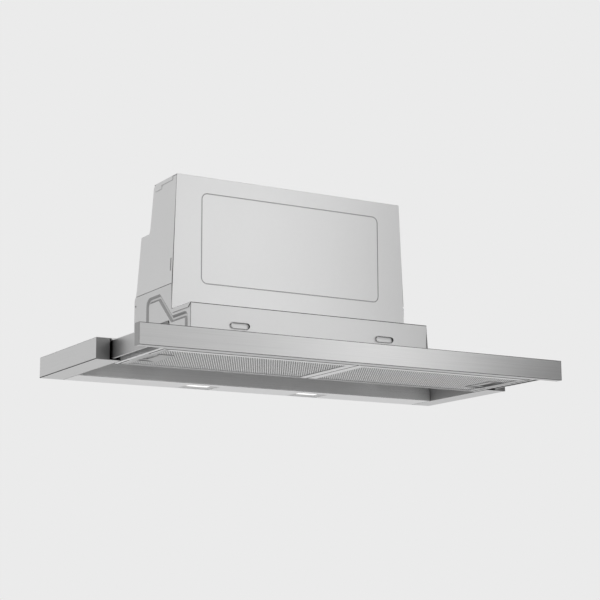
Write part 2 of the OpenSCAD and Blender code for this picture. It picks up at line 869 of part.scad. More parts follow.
module motor_bracket() color("darkgray") {
    x0 = -scroll_x - scroll_wall - bracket_t;
    x1 = -scroll_x - scroll_wall;
    ring = inlet_r + 1;
    difference() {
        axial(ring + bracket_ring, x0, x1);
        axial(ring, x0 - over, x1 + over);
    }
    difference() {
        union() {
            axial(motor_r + bracket_hoop, x0 - bracket_t, x1 + bracket_t);
            for (a = [30, 150, 270]) translate([0, y_fan, fan_z]) rotate([a, 0, 0])
                block(x0, x1, motor_r + 1, ring + 2, -bracket_arm / 2, bracket_arm / 2);
        }
        axial(motor_r + motor_grip, x0 - bracket_t - over, x1 + bracket_t + over);
    }
}

// ---- Electrics ----

module electronics_box() color("whitesmoke") difference() {
    block(elec_x0, elec_x1, y_elec_front, y_elec_back, top_z - elec_h, top_z);
    translate([gland_x, 0, gland_z])
        along_y(y_elec_back - gland_depth, y_elec_back + over) circle(gland_bore_r);
}

module capacitor() color("lightgray")
    translate([(elec_x0 + elec_x1) / 2, (y_elec_front + y_elec_back) / 2, top_z - elec_h - capacitor_l])
        cylinder(r = capacitor_r, h = capacitor_l);

module mains_gland() color("dimgray") translate([gland_x, 0, gland_z]) difference() {
    union() {
        along_y(y_elec_back, y_gland_end) circle(gland_r);
        along_y(y_gland_flange, y_gland_flange + gland_flange) circle(gland_r + gland_flange);
    }
    along_y(y_elec_back - over, y_gland_end + over) circle(gland_bore_r);
}

module rear_screws() color("silver")
    for (x = [-0.9, -0.3, 0.3, 0.9], z = [rim_h + 12, seat_h - 20]) translate([x * side_x, 0, z])
        along_y(y_chamber_back, y_chamber_back + screw_head_t) circle(screw_head_r);

module reed_switch() color("white")
    block(sensor_x0, sensor_x1, y_strip + sheet, y_strip + sheet + reed_d, deck_z - reed_h, deck_z);

// ---- Slides ----

// C profile from its web at x0 with flanges of width w, in the XZ plane
module slide_c(w) {
    square([slide_wall, slide_h]);
    square([w, slide_wall]);
    translate([0, slide_h - slide_wall]) square([w, slide_wall]);
}

module slide_outer() color("darkgray")
    translate([slide_x0, 0, slide_z]) along_y(y_slide_outer, y_slide_outer + slide_outer_l)
        slide_c(slide_mid_x - slide_web_gap - slide_x0);

module slide_inner() color("darkgray")
    translate([slide_x1, 0, slide_z]) mirror([1, 0, 0]) along_y(y_slide_inner, y_slide_inner + slide_inner_l)
        slide_c(slide_x1 - slide_mid_x - slide_web_gap);

module slide_middle() color("gray") {
    z0 = slide_z + slide_wall + fit;
    h = slide_h - 2 * slide_wall - 2 * fit;
    x0 = slide_x0 + slide_wall + fit;
    w = slide_x1 - slide_wall - fit - x0;
    along_y(y_slide_mid, y_slide_mid + slide_mid_l) {
        translate([slide_mid_x - slide_wall / 2, z0]) square([slide_wall, h]);
        translate([x0, z0]) square([w, slide_wall]);
        translate([x0, z0 + h - slide_wall]) square([w, slide_wall]);
    }
}

module slide_outer_right() slide_outer();
module slide_outer_left() on_left() slide_outer();
module slide_middle_right() slide_middle();
module slide_middle_left() on_left() slide_middle();
module slide_inner_right() slide_inner();
module slide_inner_left() on_left() slide_inner();

// ---- Drawer ----

module at_key(k) translate([key_centre + (k - (key_count - 1) / 2) * key_pitch, key_y, 0]) children();

module front_bar() color("silver") {
    x = half_w - bar_end_t;
    difference() {
        along_x(-x, x) translate([y_bar, 0]) union() {
            square([bar_wall, bar_h]);
            square([bar_d, bar_wall]);
            translate([0, bar_h - bar_wall]) square([bar_d, bar_wall]);
        }
        for (k = [0:key_count - 1]) at_key(k) along_z(bar_h - bar_wall - over, bar_h + over)
            square([key_l + 2 * fit, key_d + 2 * fit], center = true);
    }
}

module bar_end() color("gray") block(half_w - bar_end_t, half_w, y_bar, y_bar_back, 0, bar_h);
module bar_end_right() bar_end();
module bar_end_left() on_left() bar_end();

module switch_block() color("dimgray") {
    l = key_count * key_pitch;
    block(key_centre - l / 2, key_centre + l / 2, y_bar + bar_wall, y_bar_back,
        switch_top - switch_h, switch_top);
}

module key(k) color("gainsboro") at_key(k) {
    along_z(key_z - slip, bar_h + key_proud) square([key_l, key_d], center = true);
    along_z(key_z - key_flange_t, key_z)
        square([key_l + 2 * key_flange, key_d + 2 * key_flange], center = true);
}

module key_light() key(0);
module key_low() key(1);
module key_medium() key(2);
module key_high() key(3);

module side_panel() color("gray") {
    block(panel_x - sheet, panel_x, y_bar_back, y_panel_back, panel_z, drawer_z);
    block(panel_x - panel_lip, panel_x - sheet / 2, y_bar_back, y_panel_back, panel_z, panel_z + sheet);
}

module side_panel_right() side_panel();
module side_panel_left() on_left() side_panel();

module drawer_top() color("gainsboro") along_z(drawer_z, drawer_h) polygon([
    [-panel_x, y_bar_back], [panel_x, y_bar_back], [panel_x, y_panel_back], [wing_in, y_panel_back],
    [wing_in, y_frame_back], [-wing_in, y_frame_back], [-wing_in, y_panel_back], [-panel_x, y_panel_back]
]);

module drawer_magnet() color("dimgray")
    block(sensor_x0, sensor_x1, y_frame_back - magnet_edge - magnet_d, y_frame_back - magnet_edge,
        drawer_h, drawer_h + magnet_h);

// Frame around both filters, with the walls of the air space above them
module filter_frame() color("silver") difference() {
    union() {
        difference() {
            block(-frame_x, frame_x, y_bar_back, y_frame_back, 0, sheet);
            block(-open_x, open_x, y_open_front, y_open_back, -over, sheet + over);
        }
        for (s = [0, 1]) mirror([s, 0, 0]) {
            block(frame_x - sheet, frame_x, y_bar_back, y_frame_back, 0, drawer_z);
            block(open_x, open_x + sheet, y_open_front - sheet, y_frame_back, 0, frame_rim_h);
        }
        block(-frame_x, frame_x, y_bar_back, y_bar_back + sheet, 0, drawer_z);
        block(-open_x, open_x, y_open_front - sheet, y_open_front, 0, frame_rim_h);
        block(-open_x, open_x, y_open_back, y_open_back + sheet, 0, frame_rim_h);
        block(-rib_w / 2, rib_w / 2, y_open_front - sheet, y_open_back + sheet, rib_z, rib_z + sheet);
        for (y = [y_open_front - sheet, y_open_back])
            block(-rib_w / 2, rib_w / 2, y, y + sheet, 0, rib_z + sheet);
    }
    for (x = [-hinge_x, hinge_x], y = [y_open_front - sheet, y_open_back]) translate([x, 0, hinge_z])
        along_y(y - over, y + sheet + over) circle(hinge_pin_r + pin_play);
}

// ---- Filters ----

// Tray-shaped frame of one filter with its hinge pins, grip ramp and the catch's pocket
module filter_body() color("lightgray") {
    difference() {
        block(filter_in, filter_out, y_filter_front, y_filter_back, filter_z, filter_top);
        block(filter_in + sheet, filter_out - sheet, y_filter_front + sheet, y_filter_back - sheet,
            mesh_z, filter_top + over);
        block(window_x0, window_x1, window_y0, window_y1, filter_z - over, filter_top);
        block(pocket_x, filter_out + over, y_grip - catch_l / 2 - fit, y_grip + catch_l / 2 + fit,
            filter_z - over, grip_floor);
    }
    along_y(y_grip0, y_grip1) polygon([
        [grip_x0 - 2 * sheet, filter_z], [grip_x0, filter_z],
        [finger_x0, grip_floor], [finger_x0, grip_floor + sheet],
        [finger_x0 - sheet, grip_floor + sheet], [grip_x0 - 2 * sheet, filter_z + sheet]
    ]);
    difference() {
        block(finger_x0 - sheet, filter_out, y_grip0, y_grip1, grip_floor, grip_floor + sheet);
        block(finger_x0, catch_x0, y_grip - finger_l / 2, y_grip + finger_l / 2,
            grip_floor - over, grip_floor + sheet + over);
    }
    for (y = [y_grip0, y_grip1 - sheet]) along_y(y, y + sheet) polygon([
        [grip_x0, filter_z], [pocket_x, filter_z],
        [pocket_x, grip_floor + slip], [finger_x0, grip_floor + slip]
    ]);
    translate([hinge_x, 0, hinge_z]) {
        along_y(y_open_front - sheet - pin_tip, y_filter_front + sheet / 2) circle(hinge_pin_r);
        along_y(y_filter_back - sheet / 2, y_open_back + sheet + pin_tip) circle(hinge_pin_r);
    }
}

// Expanded mesh: one plate with a staggered field of diamonds
module filter_mesh() color("darkgray") {
    x0 = window_x0 - mesh_lap;
    x1 = window_x1 + mesh_lap;
    y0 = window_y0 - mesh_lap;
    y1 = window_y1 + mesh_lap;
    nx0 = grip_x0 - 2 * sheet - mesh_slit;
    nx1 = pocket_x - mesh_slit;
    ny0 = y_grip0 - mesh_slit;
    ny1 = y_grip1 + mesh_slit;
    pocket = catch_l / 2 + fit + mesh_slit;
    outline = [
        [x0, y0], [x1, y0], [x1, y_grip - pocket], [nx1, y_grip - pocket], [nx1, ny0], [nx0, ny0],
        [nx0, ny1], [nx1, ny1], [nx1, y_grip + pocket], [x1, y_grip + pocket], [x1, y1], [x0, y1]
    ];
    a = (mesh_l - mesh_strand) / 2;
    b = (mesh_d - mesh_strand) / 2;
    rows = floor((window_y1 - window_y0) / mesh_d * 2) - 1;
    cols = floor((window_x1 - window_x0) / mesh_l);
    centres = [for (r = [0:rows - 1], c = [0:cols - 1 - r % 2])
        let (x = window_x0 + mesh_l * (c + 0.5 + (r % 2) / 2), y = window_y0 + mesh_d / 2 * (r + 1))
        if (x < nx0 - mesh_l / 2 || y < ny0 - mesh_d / 2 || y > ny1 + mesh_d / 2) [x, y]];
    along_z(mesh_z, mesh_z + sheet) difference() {
        polygon(outline);
        for (p = centres) translate(p) polygon([[-a, 0], [0, -b], [a, 0], [0, b]]);
    }
}

// Catch with its finger plate, seen in the pocket at the filter's outer end
module catch() color("silver") {
    y0 = y_grip - catch_l / 2;
    y1 = y_grip + catch_l / 2;
    block(catch_x0, catch_x1, y0, y1, filter_z, filter_z + catch_t);
    block(catch_x0, catch_x0 + catch_t, y0, y1, filter_z, grip_floor - fit);
    block(catch_x1 - nose_d, catch_x1, y_grip - nose_l / 2, y_grip + nose_l / 2, filter_z, grip_floor - fit);
}

module filter_right() filter_body();
module filter_left() on_left() filter_body();
module filter_right_mesh() filter_mesh();
module filter_left_mesh() on_left() filter_mesh();
module catch_right() catch();
module catch_left() on_left() catch();

end_cap_left();
end_cap_right();
tray_deck();
light_strip();
lamp_housing_left();
lamp_housing_right();
lamp_lens_left();
lamp_lens_right();
chamber_front();
chamber_side_left();
chamber_side_right();
chamber_rear();
side_clip_left();
side_clip_right();
motor_cover();
motor_side_left();
motor_side_right();
motor_rear_left();
motor_rear_right();
outlet_block();
top_plate();
outlet_collar();
outlet_duct();
scroll_wrap();
scroll_side_left();
scroll_side_right();
motor_bracket();
motor();
motor_shaft();
fan_wheel();
electronics_box();
capacitor();
mains_gland();
rear_screws();
slide_outer_left();
slide_outer_right();
slide_middle_left();
slide_middle_right();
slide_inner_left();
slide_inner_right();
reed_switch();
drawer_magnet();
front_bar();
bar_end_left();
bar_end_right();
side_panel_left();
side_panel_right();
drawer_top();
filter_frame();
switch_block();
key_light();
key_low();
key_medium();
key_high();
filter_left();
filter_left_mesh();
catch_left();
filter_right();
filter_right_mesh();
catch_right();
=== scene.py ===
import json
import math

import bmesh
import bpy
from mathutils import Matrix, Vector


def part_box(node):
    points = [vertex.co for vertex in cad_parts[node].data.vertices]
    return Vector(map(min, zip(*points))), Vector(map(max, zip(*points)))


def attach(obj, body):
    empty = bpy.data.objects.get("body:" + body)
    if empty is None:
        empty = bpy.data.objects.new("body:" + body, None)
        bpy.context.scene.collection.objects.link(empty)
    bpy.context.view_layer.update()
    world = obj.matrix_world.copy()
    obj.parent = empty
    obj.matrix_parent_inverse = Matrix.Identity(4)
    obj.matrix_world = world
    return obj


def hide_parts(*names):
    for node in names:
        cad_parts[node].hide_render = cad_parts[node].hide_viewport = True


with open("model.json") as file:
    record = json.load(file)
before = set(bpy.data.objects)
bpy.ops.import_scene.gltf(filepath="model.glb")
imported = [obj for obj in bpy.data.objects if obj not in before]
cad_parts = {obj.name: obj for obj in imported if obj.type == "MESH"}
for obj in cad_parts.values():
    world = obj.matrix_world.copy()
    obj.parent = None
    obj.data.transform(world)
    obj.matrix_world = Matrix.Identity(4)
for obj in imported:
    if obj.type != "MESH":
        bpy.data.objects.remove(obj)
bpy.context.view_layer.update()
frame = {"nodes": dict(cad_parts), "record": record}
nodes = frame["nodes"]
bodyOf = {name: body for body, names in frame["record"]["behaviour"]["bodies"].items() for name in names}
slotOf = {piece["node"]: piece["material_slot"] for piece in frame["record"]["subparts"]}
print("frame loaded:", len(nodes), "nodes")


# camera: at the photograph's viewing point, in metres and degrees
camera = {
    "place": (-1.5227, -2.5985, -0.4291),
    "yaw": 30.26,      # from +Y towards +X
    "pitch": 10.98,    # upwards
    "roll": -0.25,
    "lens": 94.9,
    "sensor": 36,
}


def placeCamera(c):
    yaw, pitch, roll = (math.radians(c[k]) for k in ("yaw", "pitch", "roll"))
    ahead = Vector((math.sin(yaw) * math.cos(pitch), math.cos(yaw) * math.cos(pitch), math.sin(pitch)))
    level = Vector((math.cos(yaw), -math.sin(yaw), 0))
    up = level.cross(ahead)
    right = math.cos(roll) * level + math.sin(roll) * up
    up = right.cross(ahead)
    data = bpy.data.cameras.new("photoCamera")
    data.lens = c["lens"]
    data.sensor_width = c["sensor"]
    data.clip_end = 60
    thing = bpy.data.objects.new("photoCamera", data)
    thing.matrix_world = Matrix.Translation(c["place"]) @ Matrix((right, up, -ahead)).transposed().to_4x4()
    bpy.context.scene.collection.objects.link(thing)
    bpy.context.scene.camera = thing


placeCamera(camera)

# studio: a pale room with soft area lamps
studio = {
    "backdrop": (0.831, 0.831, 0.831, 1),
    "roomLight": 0.50,
    "floorZ": -3.4,
    "floorSize": 40,
    "floorGlow": 0.97,
    # reflected by the right ends: place, width, height, colour
    "darkCard": ((1.97, -1.75, 0.3), 1.50, 1.8, (0.30, 0.30, 0.30, 1)),
    # name: place, aim, width, height, watts
    "lamps": {
        "barLamp": ((0.98, -1.60, 0.30), (0.0, 0.0, 0.0), 0.45, 0.5, 1.1),
        "coverLamp": ((0.76, -1.60, 0.84), (0.0, 0.0, 0.25), 0.5, 0.5, 1.08),
        "highLamp": ((-1.5, -1.6, 2.4), (0.0, 0.0, 0.2), 2.6, 2.6, 12.5),
        "lowLamp": ((-0.4, -1.2, -1.2), (0.0, 0.1, 0.0), 2.4, 1.6, 8.5),
    },
}


def mathNode(tree, operation, a, b):
    node = tree.nodes.new("ShaderNodeMath")
    node.operation = operation
    for socket, value in zip(node.inputs, (a, b)):
        if isinstance(value, (int, float)):
            socket.default_value = value
        else:
            tree.links.new(value, socket)
    return node.outputs[0]


def seenDirectly(tree):
    path = tree.nodes.new("ShaderNodeLightPath")
    seen = mathNode(tree, "MAXIMUM", path.outputs["Is Camera Ray"], path.outputs["Is Glossy Ray"])
    return mathNode(tree, "MAXIMUM", seen, path.outputs["Is Transmission Ray"])


def setWorld(s):
    world = bpy.data.worlds.new("studioRoom")
    bpy.context.scene.world = world
    world.use_nodes = True
    tree = world.node_tree
    tree.nodes.clear()
    room = tree.nodes.new("ShaderNodeBackground")
    room.inputs["Color"].default_value = (1, 1, 1, 1)
    room.inputs["Strength"].default_value = s["roomLight"]
    pale = tree.nodes.new("ShaderNodeBackground")
    pale.inputs["Color"].default_value = s["backdrop"]
    pale.inputs["Strength"].default_value = 1
    mix = tree.nodes.new("ShaderNodeMixShader")
    tree.links.new(seenDirectly(tree), mix.inputs[0])
    tree.links.new(room.outputs[0], mix.inputs[1])
    tree.links.new(pale.outputs[0], mix.inputs[2])
    out = tree.nodes.new("ShaderNodeOutputWorld")
    tree.links.new(mix.outputs[0], out.inputs[0])


def setLamps(s):
    for name, (place, aim, width, height, watts) in s["lamps"].items():
        data = bpy.data.lights.new(name, "AREA")
        data.shape = "RECTANGLE"
        data.size, data.size_y, data.energy = width, height, watts
        thing = bpy.data.objects.new(name, data)
        turn = (Vector(aim) - Vector(place)).to_track_quat("-Z", "Y")
        thing.matrix_world = Matrix.Translation(place) @ turn.to_matrix().to_4x4()
        bpy.context.scene.collection.objects.link(thing)


def linkMesh(name, bm, paints):
    mesh = bpy.data.meshes.new(name)
    bm.to_mesh(mesh)
    bm.free()
    for paint in paints:
        mesh.materials.append(paint)
    thing = bpy.data.objects.new(name, mesh)
    bpy.context.scene.collection.objects.link(thing)
    return thing


def layPlane(name, paint, matrix):
    bm = bmesh.new()
    bmesh.ops.create_grid(bm, x_segments=1, y_segments=1, size=0.5)
    bmesh.ops.transform(bm, verts=bm.verts, matrix=matrix)
    return linkMesh(name, bm, [paint])


def mattePaint(name, colour):
    paint = bpy.data.materials.new(name)
    paint.use_nodes = True
    skin = paint.node_tree.nodes["Principled BSDF"]
    skin.inputs["Base Color"].default_value = colour
    skin.inputs["Roughness"].default_value = 1
    skin.inputs["Specular IOR Level"].default_value = 0
    return paint


def setFloor(s):
    paint = mattePaint("floorPaint", s["backdrop"])
    tree = paint.node_tree
    glow = tree.nodes.new("ShaderNodeEmission")
    glow.inputs["Color"].default_value = s["backdrop"]
    mix = tree.nodes.new("ShaderNodeMixShader")
    tree.links.new(mathNode(tree, "MULTIPLY", seenDirectly(tree), s["floorGlow"]), mix.inputs[0])
    tree.links.new(tree.nodes["Principled BSDF"].outputs[0], mix.inputs[1])
    tree.links.new(glow.outputs[0], mix.inputs[2])
    tree.links.new(mix.outputs[0], tree.nodes["Material Output"].inputs[0])
    spread = Matrix.Diagonal((s["floorSize"], s["floorSize"], 1, 1))
    thing = layPlane("studioFloor", paint, Matrix.Translation((0, 0, s["floorZ"])) @ spread)


def setCard(s):
    place, width, height, colour = s["darkCard"]
    upright = Matrix.Rotation(math.radians(90), 4, "X") @ Matrix.Diagonal((width, height, 1, 1))
    thing = layPlane("studioCard", mattePaint("cardPaint", colour), Matrix.Translation(place) @ upright)
    thing.visible_camera = False


setWorld(studio)
setLamps(studio)
setFloor(studio)
setCard(studio)
bpy.context.scene.view_settings.view_transform = "Standard"
print("studio ready")


# shared effects
def newGroup(name, inputs, outputs):
    group = bpy.data.node_groups.new(name, "ShaderNodeTree")
    for label, kind, value in inputs:
        socket = group.interface.new_socket(label, in_out="INPUT", socket_type=kind)
        if value is not None:
            socket.default_value = value
    for label, kind in outputs:
        group.interface.new_socket(label, in_out="OUTPUT", socket_type=kind)
    return group, group.nodes.new("NodeGroupInput"), group.nodes.new("NodeGroupOutput")


# grain, clouds and painted shade in inner corners (ambient occlusion darkens the colour), for every finish
grainWork = {
    "fineDetail": 3,
    "fineRoughness": 0.6,
    "cloudScale": 7,
    "cloudDetail": 2,
    "middle": 0.5,          # the noise's mean, which leaves the colour as it is
    "cornerSamples": 4,
}


def makeGrainAndShade(w):
    group, start, end = newGroup(
        "metalGrainAndShade",
        [("Vector", "NodeSocketVector", None), ("Stretch", "NodeSocketVector", (6, 700, 700)),
         ("Strength", "NodeSocketFloat", 0.1), ("Cloud", "NodeSocketFloat", 0.03),
         ("CornerShade", "NodeSocketFloat", 0.5), ("Reach", "NodeSocketFloat", 0.004)],
        [("ToneAndShade", "NodeSocketFloat"), ("Height", "NodeSocketFloat")])
    links = group.links
    stretch = group.nodes.new("ShaderNodeVectorMath")
    stretch.operation = "MULTIPLY"
    links.new(start.outputs["Vector"], stretch.inputs[0])
    links.new(start.outputs["Stretch"], stretch.inputs[1])
    fine = group.nodes.new("ShaderNodeTexNoise")
    fine.inputs["Scale"].default_value = 1
    fine.inputs["Detail"].default_value = w["fineDetail"]
    fine.inputs["Roughness"].default_value = w["fineRoughness"]
    links.new(stretch.outputs[0], fine.inputs["Vector"])
    cloud = group.nodes.new("ShaderNodeTexNoise")
    cloud.inputs["Scale"].default_value = w["cloudScale"]
    cloud.inputs["Detail"].default_value = w["cloudDetail"]
    links.new(start.outputs["Vector"], cloud.inputs["Vector"])
    streak = mathNode(group, "SUBTRACT", fine.outputs[0], w["middle"])
    streak = mathNode(group, "MULTIPLY", streak, start.outputs["Strength"])
    patch = mathNode(group, "SUBTRACT", cloud.outputs[0], w["middle"])
    patch = mathNode(group, "MULTIPLY", patch, start.outputs["Cloud"])
    # painted shade: the colour darkens where ambient occlusion finds faces within reach
    corner = group.nodes.new("ShaderNodeAmbientOcclusion")
    corner.samples = w["cornerSamples"]
    links.new(start.outputs["Reach"], corner.inputs["Distance"])
    shade = mathNode(group, "SUBTRACT", 1, corner.outputs["AO"])
    shade = mathNode(group, "MULTIPLY", shade, start.outputs["CornerShade"])
    toneAndShade = mathNode(group, "ADD", mathNode(group, "ADD", streak, patch), 1)
    toneAndShade = mathNode(group, "SUBTRACT", toneAndShade, shade)
    links.new(toneAndShade, end.inputs["ToneAndShade"])
    links.new(fine.outputs[0], end.inputs["Height"])
    return group


metalGrainAndShade = makeGrainAndShade(grainWork)

# base colour, metal, roughness, stretch of the grain, its strength, cloud, painted shade in inner corners,
# its reach, bump (metres)
finishes = {
    "brushedAlongX": ((0.52, 0.52, 0.52), 1, 0.33, (5, 900, 900), 0.26, 0.04, 0.6, 0.003, 0.00003),
    "brushedAlongY": ((0.60, 0.60, 0.60), 1, 0.34, (900, 5, 900), 0.20, 0.04, 0.6, 0.003, 0.00003),
    # the bar ends: a darker copy of the stainless, painted shade
    "barEndShadedSteel": ((0.33, 0.33, 0.33), 1, 0.34, (900, 900, 8), 0.20, 0.04, 0.6, 0.003, 0.00003),
    # the light strip: a lighter copy of the stainless, painted light on its underside
    "stripLitSteel": ((0.76, 0.76, 0.76), 1, 0.34, (5, 900, 900), 0.20, 0.04, 0.6, 0.003, 0.00003),
    # the light strip's inner wall: painted shade, from ambient occlusion reaching 5 cm
    "innerShadedSteel": ((0.75, 0.75, 0.75), 0.35, 0.34, (5, 900, 900), 0.20, 0.04, 1.1, 0.05, 0.00003),
    # the drawer's side panels: painted shade, from ambient occlusion reaching 6 cm, darkest by the end caps
    "panelShadedSteel": ((0.50, 0.50, 0.50), 1, 0.34, (900, 5, 900), 0.12, 0.04, 1.7, 0.06, 0.00002),
    # painted light: a near-white copy for the slots' lower and left rims, the frame's walls beside the slides
    # and the rear edges
    "paintedLightSteel": ((0.95, 0.95, 0.95), 0.5, 0.40, (900, 5, 900), 0.12, 0.04, 0.0, 0.003, 0.00002),
    "gripSteel": ((0.42, 0.42, 0.42), 1, 0.36, (300, 300, 300), 0.06, 0.04, 0.6, 0.003, 0.00001),
    # the cover's groove: painted shade in the recess
    "grooveShadeZinc": ((0.42, 0.42, 0.42), 1, 0.42, (120, 120, 120), 0.04, 0.03, 0.8, 0.003, 0.00001),
    # the motor box sides' pockets: painted shade on their recessed floors
    "pocketShadeZinc": ((0.50, 0.50, 0.50), 1, 0.42, (120, 120, 120), 0.04, 0.03, 0.8, 0.003, 0.00001),
    # the chamber sides' bead walls: painted shade
    "beadWallShade": ((0.34, 0.34, 0.34), 1, 0.42, (120, 120, 120), 0.04, 0.03, 0.9, 0.006, 0.00001),
    "shadedSteel": ((0.21, 0.21, 0.21), 1, 0.42, (300, 300, 300), 0.10, 0.04, 0.6, 0.003, 0.00001),
    # folds, cut edges and shadowed walls: painted shade
    "foldShadeSteel": ((0.12, 0.12, 0.12), 1, 0.40, (300, 300, 300), 0.10, 0.04, 0.6, 0.003, 0.00001),
    # the slot cups' floors: a lighter zinc with no corner shade, painted light
    "slotLightZinc": ((0.74, 0.74, 0.74), 0.6, 0.42, (120, 120, 120), 0.04, 0.03, 0.0, 0.003, 0.00001),
    "seamShade": ((0.04, 0.04, 0.04), 0.3, 0.60, (300, 300, 300), 0.10, 0.04, 0.6, 0.003, 0.00001),
    "zincSheet": ((0.68, 0.68, 0.68), 1, 0.42, (120, 120, 120), 0.04, 0.03, 0.8, 0.003, 0.00001),
    "shelfZinc": ((0.63, 0.63, 0.63), 1, 0.42, (120, 120, 120), 0.04, 0.03, 0.8, 0.003, 0.00001),
    # the chamber sides: painted shade in the pressed bead, from ambient occlusion reaching 9 mm
    "zincPressedShaded": ((0.63, 0.63, 0.63), 1, 0.42, (120, 120, 120), 0.04, 0.03, 1.1, 0.009, 0.00001),
    "slideSteel": ((0.55, 0.56, 0.57), 1, 0.30, (900, 6, 900), 0.12, 0.05, 0.5, 0.004, 0.00002),
    "springSteel": ((0.26, 0.26, 0.26), 1, 0.35, (200, 200, 200), 0.10, 0.05, 0.5, 0.004, 0.00002),
    "screwSteel": ((0.66, 0.66, 0.66), 1, 0.25, (300, 300, 300), 0.10, 0.05, 0.5, 0.002, 0.00001),
    "filterSteel": ((0.76, 0.76, 0.76), 1, 0.36, (300, 300, 300), 0.06, 0.04, 0.6, 0.003, 0.00001),
    "meshAluminium": ((0.85, 0.85, 0.85), 1, 0.40, (500, 500, 500), 0.10, 0.04, 0.5, 0.003, 0.00001),
    # strands running the other way: a darker copy, painted shade
    "meshStrandShade": ((0.62, 0.62, 0.62), 1, 0.40, (500, 500, 500), 0.10, 0.04, 0.5, 0.003, 0.00001),
    "meshPad": ((0.13, 0.13, 0.13), 1, 0.50, (400, 400, 400), 0.90, 0.10, 0.3, 0.002, 0.0004),
    "lampSurround": ((0.70, 0.70, 0.70), 0, 0.35, (600, 600, 600), 0.03, 0.02, 0.3, 0.003, 0.00001),
    "lampLens": ((0.95, 0.95, 0.94), 0, 0.45, (300, 300, 300), 0.02, 0.02, 0.0, 0.003, 0.00001),
    "blackPlastic": ((0.06, 0.06, 0.065), 0, 0.50, (900, 900, 900), 0.20, 0.05, 0.2, 0.003, 0.00003),
    "motorMetal": ((0.35, 0.36, 0.38), 1, 0.40, (200, 200, 200), 0.10, 0.05, 0.4, 0.003, 0.00001),
    "whitePlastic": ((0.80, 0.80, 0.78), 0, 0.45, (900, 900, 900), 0.05, 0.03, 0.2, 0.003, 0.00002),
    "magnetIron": ((0.20, 0.20, 0.21), 1, 0.55, (300, 300, 300), 0.20, 0.10, 0.4, 0.003, 0.00003),
    "keyPlastic": ((0.55, 0.55, 0.56), 0, 0.35, (700, 700, 700), 0.05, 0.03, 0.3, 0.003, 0.00001),
}

roughSpread = 0.08      # the grain varies the roughness by this much
# the lenses, lit
lampGlow = {"colour": (1, 1, 0.98, 1), "strength": 0.75}


def makeFinish(name, colour, metal, rough, stretch, strength, cloud, cornerShade, reach, bumpSize):
    material = bpy.data.materials.new(name)
    material.use_nodes = True
    tree = material.node_tree
    skin = tree.nodes["Principled BSDF"]
    skin.inputs["Metallic"].default_value = metal
    where = tree.nodes.new("ShaderNodeTexCoord")
    grain = tree.nodes.new("ShaderNodeGroup")
    grain.node_tree = metalGrainAndShade
    tree.links.new(where.outputs["Object"], grain.inputs["Vector"])
    grain.inputs["Stretch"].default_value = stretch
    grain.inputs["Strength"].default_value = strength
    grain.inputs["Cloud"].default_value = cloud
    grain.inputs["CornerShade"].default_value = cornerShade
    grain.inputs["Reach"].default_value = reach
    # the base colour times the grain, the clouds and the painted corner shade
    tint = tree.nodes.new("ShaderNodeMix")
    tint.data_type = "RGBA"
    tint.blend_type = "MULTIPLY"
    tint.inputs[0].default_value = 1
    tint.inputs[6].default_value = (*colour, 1)
    tree.links.new(grain.outputs["ToneAndShade"], tint.inputs[7])
    tree.links.new(tint.outputs[2], skin.inputs["Base Color"])
    fuzz = mathNode(tree, "MULTIPLY", grain.outputs["Height"], roughSpread)
    fuzz = mathNode(tree, "ADD", fuzz, rough - roughSpread / 2)
    tree.links.new(fuzz, skin.inputs["Roughness"])
    bump = tree.nodes.new("ShaderNodeBump")
    bump.inputs["Distance"].default_value = bumpSize
    tree.links.new(grain.outputs["Height"], bump.inputs["Height"])
    tree.links.new(bump.outputs[0], skin.inputs["Normal"])
    return material


materials = {name: makeFinish(name, *values) for name, values in finishes.items()}
lens = materials["lampLens"].node_tree.nodes["Principled BSDF"]
lens.inputs["Emission Color"].default_value = lampGlow["colour"]
lens.inputs["Emission Strength"].default_value = lampGlow["strength"]

finishOfSlot = {
    "stainless": "brushedAlongX", "galvanised": "zincSheet", "slide_steel": "slideSteel",
    "spring_steel": "springSteel", "screw_steel": "screwSteel", "filter_steel": "filterSteel",
    "filter_mesh": "meshAluminium", "lamp_surround": "lampSurround", "lamp_lens": "lampLens",
    "black_plastic": "blackPlastic", "motor_metal": "motorMetal", "white_plastic": "whitePlastic",
    "magnet": "magnetIron", "key_plastic": "keyPlastic",
}
finishOfNode = {
    "end_cap_left": "brushedAlongY", "end_cap_right": "brushedAlongY",
    "bar_end_left": "barEndShadedSteel", "bar_end_right": "barEndShadedSteel",
    "side_panel_left": "panelShadedSteel", "side_panel_right": "panelShadedSteel",
    "light_strip": "stripLitSteel", "filter_frame": "filterSteel", "chamber_front": "shelfZinc",
    "chamber_side_left": "zincPressedShaded", "chamber_side_right": "zincPressedShaded",
    "catch_left": "gripSteel", "catch_right": "gripSteel",
}


def finishFor(node):
    return materials[finishOfNode.get(node, finishOfSlot[slotOf[node]])]


for name, thing in nodes.items():
    for place in thing.material_slots:
        place.material = finishFor(name)
print("finishes laid on the solids")

facing = 0.9            # a normal that reaches this far along a way faces that way
halfTurned = 0.5        # one that reaches this far is within 60 degrees of it
merging = 1e-6          # corners closer than this are one
cutting = 1e-7          # how exactly a cut follows its plane
flatBend = 0.5          # degrees: faces that bend less than this become one

# chamber front: a shallow pressed cup behind each slot, its floor painted light and its upper and right walls
# painted shade
slotCup = {
    "spacing": 0.160,
    "height": 0.084,
    "length": 0.0396,
    "width": 0.0106,
    "depth": 0.0045,
    "behind": 0.0010,       # the sheet's thickness
    "shadow": 0.001,        # further than this above the slot's middle the wall shows darker
    "segments": 32,
    "names": {-1: "slotCupLeft", 1: "slotCupRight"},
}


# the slot rims that take painted light: beside a slot, not above its middle nor past its right end
def litSlot(middle, w):
    beside = abs(middle.x) - w["spacing"] if middle.x > 0 else w["spacing"] - abs(middle.x)
    near = abs(middle.z - w["height"]) < w["width"] and abs(beside) < w["length"]
    shadowed = middle.z > w["height"] + w["shadow"] or beside > (w["length"] - w["width"]) / 2
    return near and not shadowed


